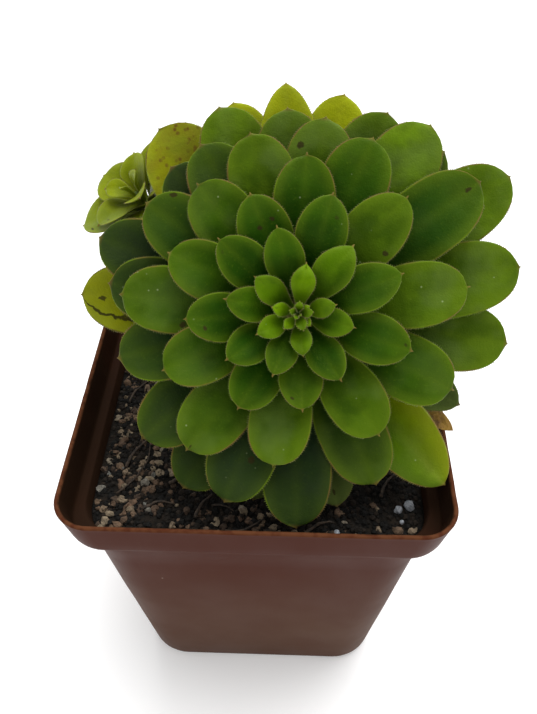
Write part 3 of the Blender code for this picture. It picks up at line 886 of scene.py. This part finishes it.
def leaf_skin(name, young, grown, old, lit_green, edge, blush, spots=0.78, speckled=0.0, cracked=0.0, lit=0.0):
    """Living leaf skin: its green follows age and painted light (partly the leaf's own tone), with painted
    shade and a painted sheen, a pale margin, a ruddy point and brown spots.
    """
    made, shader, place = new_material(
        name, 0.42, Specular_IOR_Level=0.16, Specular_Tint=(0.65, 0.85, 0.16, 1.0), Subsurface_Weight=0.10,
        Subsurface_Radius=(0.6, 1.0, 0.2), Subsurface_Scale=1.2 * MM,
    )
    aside, along, _ = split(add(shader.id_data, "ShaderNodeUVMap", uv_map="blade").outputs[0])
    across = maths("ABSOLUTE", maths("MULTIPLY_ADD", aside, 2.0, -1.0))
    age, lighting_and_tone, under = (stored(shader, label) for label in ("age", "lighting_and_tone", "under"))
    mottle = step(clouds(place, 0.13, 5), 0.36, 0.64, 0.0, 0.60)
    # Painted shade towards each leaf's base, where the leaves above shade it, with some darker green of the
    # leaf's own; less on the youngest leaves.
    shade = times(step(along, 0.85, 0.15), step(age, 0.03, 0.20, 0.50, 0.85))
    vein = times(step(across, 0.30, 0.02), step(along, 0.40, 0.80))
    # Painted sheen: soft pale grey-green patches on the middle of the leaves, more on older leaves and on
    # those that face the light.
    painted_sheen = step(clouds(place, 0.085, 3), 0.44, 0.64)
    for value, ends in (
        (along, (0.35, 0.75)), (age, (0.05, 0.50, 0.20, 0.50)), (lighting_and_tone, (0.0, 0.7, 0.15, 1.0))
    ):
        painted_sheen = times(painted_sheen, step(value, *ends))
    dot = flecks(place, 0.42 / MM, (0.13, 0.05), (0.80, 0.82))
    body = tint(step(age, 0.03, 0.24), young, grown)
    for share, over in (
        (step(age, 0.42, 0.68), old),
        # Painted light, partly the leaf's own paler tone: leaves that face the light are painted a lighter
        # green.
        (step(lighting_and_tone, 0.0, 1.0, 0.0, 0.95), lit_green),
        (step(lighting_and_tone, 1.0, 2.0), tuple(1.9 * c for c in lit_green)),
        (mottle, tuple(0.55 * c for c in grown)),
        (shade, tuple(0.30 * c for c in grown)),
        (times(vein, 0.12), edge),
        (painted_sheen, (0.075, 0.120, 0.026)),
        (step(across, 0.50, 1.0, 0.0, 0.32), edge),
        (step(along, 0.66, 1.0, 0.0, 0.26), edge),
        (step(clouds(place, 1.6, 2), 0.58, 0.75, 0.0, 0.14), edge),
        (times(dot, 0.40), (0.36, 0.42, 0.22)),
    ):
        body = tint(share, body, over)
    # Painted light on one half of the blade and painted shade on the other, as strong as lit says.
    if lit:
        body = tint(step(aside, 0.40, 0.95, 0.0, lit), body, (0.17, 0.20, 0.001))
        body = tint(step(aside, 0.50, 0.05, 0.0, lit), body, (0.035, 0.090, 0.002))
    # Painted shade: old leaves that get little light are painted nearly black-green.
    painted_shade_unlit = times(step(age, 0.50, 0.64, 0.0, 0.50), step(lighting_and_tone, 0.30, 0.0))
    body = tint(painted_shade_unlit, body, (0.006, 0.013, 0.009))
    ring = step(across, 0.945, 0.985)
    ruddy = step(clouds(place, 0.16, 3), 0.38, 0.62)
    ruddy = times(ruddy, step(age, 0.15, 0.45, 0.25, 1.0))
    line = tint(times(ruddy, step(along, 0.35, 0.95)), edge, blush)
    body = tint(times(ring, 0.9), body, line)
    body = tint(step(along, 0.985, 1.02, 0.0, 0.8), body, blush)
    number = times(age, OLDEST)
    flat_x = maths("MULTIPLY_ADD", number, 7.3, times(aside, 16.0))
    flat_y = maths("MULTIPLY_ADD", number, 3.1, times(along, 42.0))
    flat = add(shader.id_data, "ShaderNodeCombineXYZ", {0: flat_x, 1: flat_y}).outputs[0]
    ragged = step(clouds(place, 1.2), 0.3, 0.7, 0.0, 0.04)
    rare = (spots, spots + 0.01)
    mark = flecks(flat, 0.11, (0.125, 0.085), rare, 1, ragged, voronoi_dimensions="2D")
    mark = times(mark, step(age, 0.22, 0.30))
    body = tint(times(mark, 0.85), body, (0.022, 0.012, 0.006))
    if speckled:
        sockets = {"Vector": place, "Scale": 0.62 / MM}
        peppers = add(shader.id_data, "ShaderNodeTexVoronoi", sockets)
        pepper = step(peppers.outputs["Distance"], 0.40, 0.22)
        patch = step(clouds(place, 0.20, 4), 0.40, 0.62)
        where = times(step(along, 0.55, 0.95), patch)
        share = times(times(pepper, where), speckled)
        body = tint(share, body, (0.085, 0.035, 0.010))
        body = tint(times(where, 0.35 * speckled), body, (0.15, 0.075, 0.008))
    if cracked:
        wander = times(clouds(place, 0.35, 4), 0.22)
        crack = maths("ABSOLUTE", maths("SUBTRACT", maths("ADD", aside, wander), 0.90))
        line = times(step(crack, 0.035, 0.015, 0.0, cracked), step(along, 0.45, 0.60))
        body = tint(line, body, (0.018, 0.010, 0.005))
    body = tint(times(under, 0.45), body, tuple(0.8 * g + 0.008 for g in grown))
    paint(shader, body)
    gloss = step(clouds(place, 0.30, 4), 0.3, 0.7, 0.34, 0.50)
    paint(shader, gloss, "Roughness")
    pores = clouds(place, 2.4, 3)
    bumped(shader, maths("ADD", pores, times(clouds(place, 0.35, 3), 2.5)), 0.10)
    return made


YOUNG_GREEN, GROWN_GREEN, OLD_GREEN = (0.140, 0.265, 0.001), (0.010, 0.050, 0.001), (0.004, 0.014, 0.010)
LIT_GREEN, PALE_EDGE, RUDDY = (0.064, 0.118, 0.003), (0.108, 0.170, 0.008), (0.160, 0.090, 0.028)
green_skin = leaf_skin("green leaf skin", YOUNG_GREEN, GROWN_GREEN, OLD_GREEN, LIT_GREEN, PALE_EDGE, RUDDY)
teeth_skin = mottled(
    "pale margin teeth", 0.55, (0.16, 3, 0.35, 0.65), (0.15, 0.20, 0.03), (0.15, 0.11, 0.035)
)


def finish_leaf(piece, slot, node):
    follow(piece, MARGIN_RULE, Material=teeth_skin)
    hand_in(bake(piece), slot, node)


# ----------------------------------------------------------------------------
# Main rosette. Green leaves on one spiral, each 78 degrees on from the last. The youngest stand close
# round the tip, bright and sharply pointed; the older they are the broader, darker and lower they lie.
FIRST_AZIMUTH, TURN = 268.0, -78.0
LAST_HEART_LEAF, LAST_YOUNG_LEAF, LAST_FRESH_LEAF, LAST_GREEN_LEAF = 18, 32, 51, 66
LOST_LEAVES = (27, 41, 45, 46, 50, 61, 64)
LONGEST_REACH, REACH_AGE, LONG_SIDE, LONG_SIDE_AZIMUTH = 62.0, 36.0, 0.10, math.radians(45)
TIP_RISE, DROOP, BROADEST, THINNEST, SEAT_DEPTH, SEAT_STEP = 3.0, 170.0, 21.0, 0.7, 2.5, 0.5
HEART_TOP, HEART_DEPTH, BUDS, LIT_AZIMUTH = 3.0, 11.4, 6, math.radians(10)
# Leaves that stand away from the spiral: degrees round and millimetres further out. A few lie higher too.
STRAYS = {
    5: (-9, 0), 6: (8, 0), 7: (0, 3), 8: (10, -1), 9: (-8, 0), 11: (11, 0), 12: (0, 4), 13: (13, -3),
    14: (-7, 0), 15: (-8, 0), 16: (5, 0), 17: (0, 3), 18: (0, -3), 19: (-12, -1), 20: (-10, 1),
    21: (5, 1), 22: (-9, 0), 23: (0, -3), 24: (-12, 0), 25: (-5, -1), 26: (8, 3), 28: (-5, -3),
    29: (-10, 1), 31: (0, 2), 32: (13, -1), 33: (-10, 1), 34: (-7, 0), 35: (10, 2), 36: (-5, 0),
    38: (-9, 4), 40: (9, 6), 42: (0, 3), 43: (-9, 1), 44: (7, -2), 47: (-7, 2), 48: (-3, -2), 49: (10, 2),
    51: (0, 5), 53: (0, -4), 54: (-3, 0), 55: (-2, -3), 56: (0, 3), 57: (-10, -5), 58: (3, -4),
    59: (7, -4), 60: (3, 4), 62: (0, -2), 63: (0, 2), 65: (0, 3),
}
LIFTED = {35: -0.2, 55: 0.4, 57: 0.6, 59: -0.3, 60: 0.4}
# How much painted light some leaves get, partly their own paler tone: 1 is fully lit, and over 1 it starts
# to yellow.
SUN = {
    23: 0.5, 26: 0.75, 29: 0.3, 31: 0.85, 32: 0.6, 33: 0.3, 34: 0.35, 36: 0.3, 37: 0.75, 38: 0.4, 39: 0.85,
    40: 0.1, 42: 0.5, 44: 0.7, 47: 0.1, 48: 0.2, 49: 1.7, 51: 0.0, 53: 0.7, 54: 1.2, 55: 0.4, 56: 0.15,
    58: 0.7, 59: 0.8, 60: 0.0, 62: 1.4, 63: 1.4, 65: 0.0,
}


def seat(number):
    """Where a leaf leaves the stem: its reach from the axis and its height along it."""
    depth = SEAT_DEPTH + SEAT_STEP * number
    reach = stem_radius(depth) + 0.5 if number > LAST_HEART_LEAF else 0.6 * stem_radius(depth)
    return reach, -depth


def green_blade(number):
    turn, further = STRAYS.get(number, (0, 0))
    azimuth = FIRST_AZIMUTH + TURN * number + turn
    angle = math.radians(azimuth)
    usual = LONGEST_REACH * (1 - math.exp(-((number / REACH_AGE) ** 1.25)))
    reach = usual * (1 + LONG_SIDE * math.cos(angle - LONG_SIDE_AZIMUTH)) + further
    height = TIP_RISE * math.exp(-usual / 6) - usual * usual / DROOP + LIFTED.get(number, 0)
    breadth = BROADEST * (1 - math.exp(-reach / 28))
    thickness = THINNEST + 1.4 * (1 - math.exp(-reach / 18))
    pointed = float(np.clip(1.02 - number / 34, 0.0, 0.90))
    # Other leaves get a little painted light on the side of the rosette that faces the light.
    lighting_and_tone = SUN.get(number, 0.25 * max(0.0, math.cos(angle - LIT_AZIMUTH)))
    return Blade(MAIN, azimuth, seat(number), usual, reach, height, breadth, thickness, number, pointed, lighting_and_tone)


def bud_blade(number):
    """One of the tiny folded leaves that stand round the growing tip."""
    reach = 0.8 + 0.62 * number
    return Blade(
        MAIN, FIRST_AZIMUTH + TURN * (number - 5) + 20, (0.25, -2.6), reach, reach, 2.9 - 0.12 * number,
        1.1 + 0.42 * number, 0.5, 3, 0.9,
    )


def heart_core(axes, radius_at, top, deepest):
    path = [axes[0] - axes[3] * (top + (deepest - top) * i / 10) for i in range(11)]
    return tube(path, [radius_at(top + (deepest - top) * i / 10) for i in range(11)], 16, 0.05)


numbers = [n for n in range(3, LAST_GREEN_LEAF + 1) if n not in LOST_LEAVES]
heart_blades = [bud_blade(n) for n in range(BUDS)]
heart_blades += [green_blade(n) for n in numbers if n <= LAST_HEART_LEAF]
finish_leaf(leaf_piece("heart_leaves", heart_blades, green_skin), "young_leaf", "heart")
shoot = mottled("young shoot", 0.5, (0.8, 4), (0.06, 0.11, 0.004), (0.12, 0.17, 0.008), (1.2, 4, 0.2))
core = new_piece("growing_tip", *heart_core(MAIN, stem_radius, HEART_TOP, HEART_DEPTH), shoot)
hand_in(core, "young_leaf", "heart")
for number in numbers:
    if number > LAST_HEART_LEAF:
        leaf = leaf_piece(f"green_leaf_{number:02d}", [green_blade(number)], green_skin)
        old_slot = "green_leaf" if number <= LAST_FRESH_LEAF else "old_green_leaf"
        slot = "young_leaf" if number <= LAST_YOUNG_LEAF else old_slot
        finish_leaf(leaf, slot, f"leaf_{number:02d}")

# ----------------------------------------------------------------------------
# Odd and old leaves under the green ones: one broad yellow-green leaf, dark low ones, pale and yellow ones
# that get little light, a yellow one speckled brown towards its end, and one dried to an ochre curl.
YELLOW_SKIN = ((0.22, 0.25, 0.001), (0.20, 0.22, 0.001), (0.20, 0.22, 0.001), (0.24, 0.26, 0.001))
yellow_skin = leaf_skin(
    "yellow leaf skin", *YELLOW_SKIN, (0.25, 0.27, 0.02), (0.10, 0.05, 0.02), 0.55, cracked=0.9
)
pale_skin = leaf_skin(
    "pale leaf skin", (0.32, 0.37, 0.002), (0.29, 0.33, 0.001), (0.29, 0.33, 0.001), (0.31, 0.35, 0.001),
    (0.34, 0.37, 0.02), (0.20, 0.09, 0.03), 0.8,
)
speckled_skin = leaf_skin(
    "speckled leaf skin", *YELLOW_SKIN, (0.25, 0.27, 0.02), (0.10, 0.04, 0.02), 0.6, speckled=0.9
)
broad_skin = leaf_skin(
    "broad leaf skin", (0.12, 0.19, 0.002), (0.075, 0.160, 0.001), (0.072, 0.158, 0.001),
    (0.15, 0.22, 0.002), (0.24, 0.27, 0.04), (0.22, 0.10, 0.04), 0.66, lit=0.65,
)
dark_skin = leaf_skin(
    "low leaf skin", (0.040, 0.070, 0.012), (0.036, 0.060, 0.014), (0.034, 0.055, 0.016),
    (0.04, 0.065, 0.014), (0.11, 0.14, 0.03), (0.12, 0.06, 0.03), 0.7,
)
ODD_LEAVES = {
    "broad_leaf": (64, 312, 56.7, -19.8, 19, 0.35, "yellow_leaf", broad_skin),
    "low_leaf_front": (72, 283, 50, -21.0, 15, 0.2, "old_green_leaf", dark_skin),
    "speckled_leaf": (71, 128, 58, -23, 22, 0.0, "yellow_leaf", speckled_skin),
    "grey_leaf": (75, 332, 47.6, -24.5, 14, 0.3, "old_green_leaf", dark_skin),
    "low_leaf_left": (76, 258, 49, -22.5, 15, 0.2, "old_green_leaf", dark_skin),
    "low_leaf_right": (72, 49, 54, -21, 15, 0.2, "old_green_leaf", green_skin),
    "yellow_leaf": (75, 176, 56, -26, 19, 0.0, "yellow_leaf", yellow_skin),
    "pale_leaf_middle": (76, 94, 58, -24, 18, 0.45, "yellow_leaf", pale_skin),
    "pale_leaf_right": (81, 79, 57, -27, 18, 0.1, "yellow_leaf", pale_skin),
    "pale_leaf_left": (85, 108, 57, -29, 17, 0.05, "yellow_leaf", pale_skin),
}
for name, (number, azimuth, reach, height, breadth, pointed, slot, skin) in ODD_LEAVES.items():
    # The last value, 0.3, is the painted light on each of these leaves, partly its own tone.
    blade = Blade(
        MAIN, azimuth, seat(number), reach, reach, height, breadth, 0.12 * breadth, number, pointed, 0.3
    )
    finish_leaf(leaf_piece(name + "_blade", [blade], skin), slot, name)

dry_skin = mottled(
    "dried leaf skin", 0.72, (0.35, 5, 0.32, 0.70), (0.34, 0.19, 0.022), (0.16, 0.075, 0.018), (0.9, 6, 0.8)
)
dry_blade = Blade(
    MAIN, azimuth=324.5, seat=seat(OLDEST), usual=51, reach=51, height=-28, breadth=7, thickness=1.1,
    number=OLDEST, pointed=0.3,
)
hand_in(leaf_piece("dried_leaf_blade", [dry_blade], dry_skin), "dried_leaf", "dried_leaf")

# ----------------------------------------------------------------------------
# Offset rosette. A small, pale yellow-green rosette with short broad leaves, on its own thin stem behind
# the main one and to its left.
PUP_TURN, PUP_FIRST_AZIMUTH, PUP_REACH = 137.5, 20.0, 23.5
PUP_LEAVES, PUP_HEART_TOP, PUP_HEART_DEPTH = 12, 1.2, 11.0


def pup_blade(number):
    reach = PUP_REACH * (1 - math.exp(-((number / 7) ** 1.2)))
    depth = 1.5 + 0.8 * number
    # The last value, 0.8, is the painted light on the offset's leaves, partly their own tone.
    return Blade(
        PUP, PUP_FIRST_AZIMUTH + PUP_TURN * number, (0.5 * pup_stem_radius(depth), -depth), reach, reach,
        4 - reach * reach / 70, 0.92 * reach + 0.6, THINNEST + 0.05 * reach, 4 * number, 0.45, 0.8,
    )


pup_skin = leaf_skin(
    "offset leaf skin", (0.17, 0.22, 0.002), (0.15, 0.20, 0.001), (0.13, 0.18, 0.001), (0.19, 0.23, 0.002),
    (0.24, 0.28, 0.02), (0.15, 0.06, 0.03), 0.86,
)
pup = leaf_piece("offset_leaves", [pup_blade(n) for n in range(1, PUP_LEAVES + 1)], pup_skin)
finish_leaf(pup, "young_leaf", "offset_rosette")
core = new_piece("offset_tip", *heart_core(PUP, pup_stem_radius, PUP_HEART_TOP, PUP_HEART_DEPTH), shoot)
hand_in(core, "young_leaf", "offset_rosette")

# ----------------------------------------------------------------------------
# Camera, floor and light. The camera looks down from in front at about 45 degrees. The floor is plain and
# pale, and the light is soft and comes from above.
camera = put_in("camera", bpy.data.cameras.new("camera"))
camera.data.sensor_fit, camera.data.sensor_height, camera.data.lens = "VERTICAL", 36.0, 37.3
camera.data.clip_start, camera.data.clip_end = 0.01, 20.0
ahead = Vector((-0.02538, 0.71134, -0.70239))
upward = Vector((-0.02158, 0.70207, 0.71178))
camera.matrix_world = (
    Matrix.Translation(Vector((7.16, -145.33, 250.30)) * MM)
    @ Matrix((ahead.cross(upward), upward, -ahead)).transposed().to_4x4()
)
bpy.context.scene.camera = camera

mesh = bpy.data.meshes.new("floor")
mesh.from_pydata([(-4, -4, 0), (4, -4, 0), (4, 4, 0), (-4, 4, 0)], [], [(0, 1, 2, 3)])
mesh.materials.append(mottled(
    "pale floor", 0.9, (0.01, 3), (0.91, 0.91, 0.91), (0.94, 0.94, 0.94),
    Emission_Color=(1.0, 1.0, 1.0, 1.0), Emission_Strength=0.16, Specular_IOR_Level=0.1,
))
floor = put_in("floor", mesh)

world = bpy.data.worlds.new("studio")
world.use_nodes = True
sky = world.node_tree.nodes["Background"].inputs
sky["Color"].default_value, sky["Strength"].default_value = (1.0, 1.0, 1.0, 1.0), 0.80
bpy.context.scene.world = world
lamp = put_in("overhead", bpy.data.lights.new("overhead", "SUN"))
lamp.data.energy, lamp.data.angle = 2.9, math.radians(50)
lamp.rotation_euler = Euler((math.radians(-16), math.radians(10), 0))
bpy.context.scene.view_settings.view_transform = "Standard"
